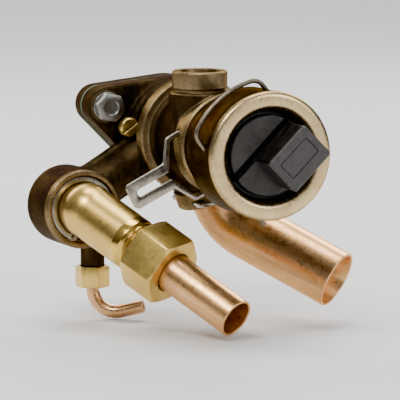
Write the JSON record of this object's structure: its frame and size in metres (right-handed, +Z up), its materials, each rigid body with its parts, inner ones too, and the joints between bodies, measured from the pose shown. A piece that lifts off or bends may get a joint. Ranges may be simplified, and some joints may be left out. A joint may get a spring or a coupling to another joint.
{
  "type": "diverter valve",
  "caption": "Three-way heating diverter valve: cast brass body, deep turned brass cup holding a black snap-in actuator, clipped copper tails and a union elbow.",
  "frame": {"origin": "middle of the rear cover's flat back face, on the spindle axis", "axes": "-Y points to the front along the spindle towards the actuator, +Z up, +X to the right seen from the front"},
  "size_m": [0.1111, 0.123, 0.0978],
  "materials": {
    "cast_brass": "dark patinated casting, satin",
    "turned_brass": "turned, dulled to a pale champagne",
    "yellow_brass": "machined, bright yellow",
    "contact_brass": "stamped and turned, bright",
    "copper": "drawn copper tube, lightly oxidised",
    "zinc_steel": "zinc plated",
    "stainless_steel": "cold drawn stainless",
    "black_plastic": "fine textured glass-filled moulding",
    "grey_plastic": "acetal bearing plastic",
    "black_rubber": "moulded elastomer",
    "green_fibre": "compressed fibre sheet",
    "ferrite": "sintered ferrite",
    "coil_wire": "enamelled copper winding",
    "board": "glass-fibre circuit board"
  },
  "bodies": {
    "valve": {"actuator_base": "black_plastic", "actuator_housing": "black_plastic", "actuator_o_ring": "black_rubber", "bonnet": "turned_brass", "bonnet_clip": "stainless_steel", "bonnet_o_ring": "black_rubber", "branch_circlip": "stainless_steel", "branch_o_ring": "black_rubber", "circuit_board": "board", "coil_front": "coil_wire", "coil_rear": "coil_wire", "common_clip": "stainless_steel", "common_o_ring": "black_rubber", "common_tail": "copper", "cover_bolt_1": "zinc_steel", "cover_bolt_2": "zinc_steel", "cover_gasket": "green_fibre", "cover_washer_1": "zinc_steel", "cover_washer_2": "zinc_steel", "drain_nut": "yellow_brass", "drain_spout": "copper", "front_seat": "yellow_brass", "gland_bush": "yellow_brass", "heating_tail": "copper", "rear_cover": "cast_brass", "rear_seat": "yellow_brass", "retaining_clip": "stainless_steel", "return_spring": "stainless_steel", "rotor_bearing_front": "grey_plastic", "rotor_bearing_rear": "grey_plastic", "seal_spacer": "yellow_brass", "stator_cup_front": "zinc_steel", "stator_cup_rear": "zinc_steel", "stem_seal_inner": "black_rubber", "stem_seal_outer": "black_rubber", "terminal_pin_1": "contact_brass", "terminal_pin_2": "contact_brass", "terminal_pin_3": "contact_brass", "terminal_pin_4": "contact_brass", "union_elbow": "yellow_brass", "union_nut": "yellow_brass", "union_washer": "green_fibre", "valve_body": "cast_brass", "vent_plug": "yellow_brass"},
    "rotor": {"rotor_magnet": "ferrite", "rotor_nut": "contact_brass"},
    "push_screw": {"lead_screw": "stainless_steel"},
    "spindle_group": {"spindle": "stainless_steel", "spindle_nut": "stainless_steel", "rear_disc": "black_rubber", "plunger_core": "yellow_brass", "front_disc": "black_rubber", "spring_plate": "stainless_steel", "spindle_circlip": "stainless_steel"}
  },
  "joints": [
    {"name": "rotor_spin", "type": "hinge", "parent": "valve", "child": "rotor", "pos_m": [0, -0.103, 0], "axis": [0, 1, 0], "range_deg": [0, 2160]},
    {"name": "screw_slide", "type": "slide", "parent": "valve", "child": "push_screw", "axis": [0, 1, 0], "range_m": [0, 0.0072]},
    {"name": "spindle_slide", "type": "slide", "parent": "valve", "child": "spindle_group", "axis": [0, 1, 0], "range_m": [0, 0.0072], "deforming": ["return_spring"]}
  ],
  "couplings": [
    {"joint": "rotor_spin", "follows": "screw_slide", "rad_per_m": 5236},
    {"joint": "spindle_slide", "follows": "screw_slide", "ratio": 1}
  ]
}
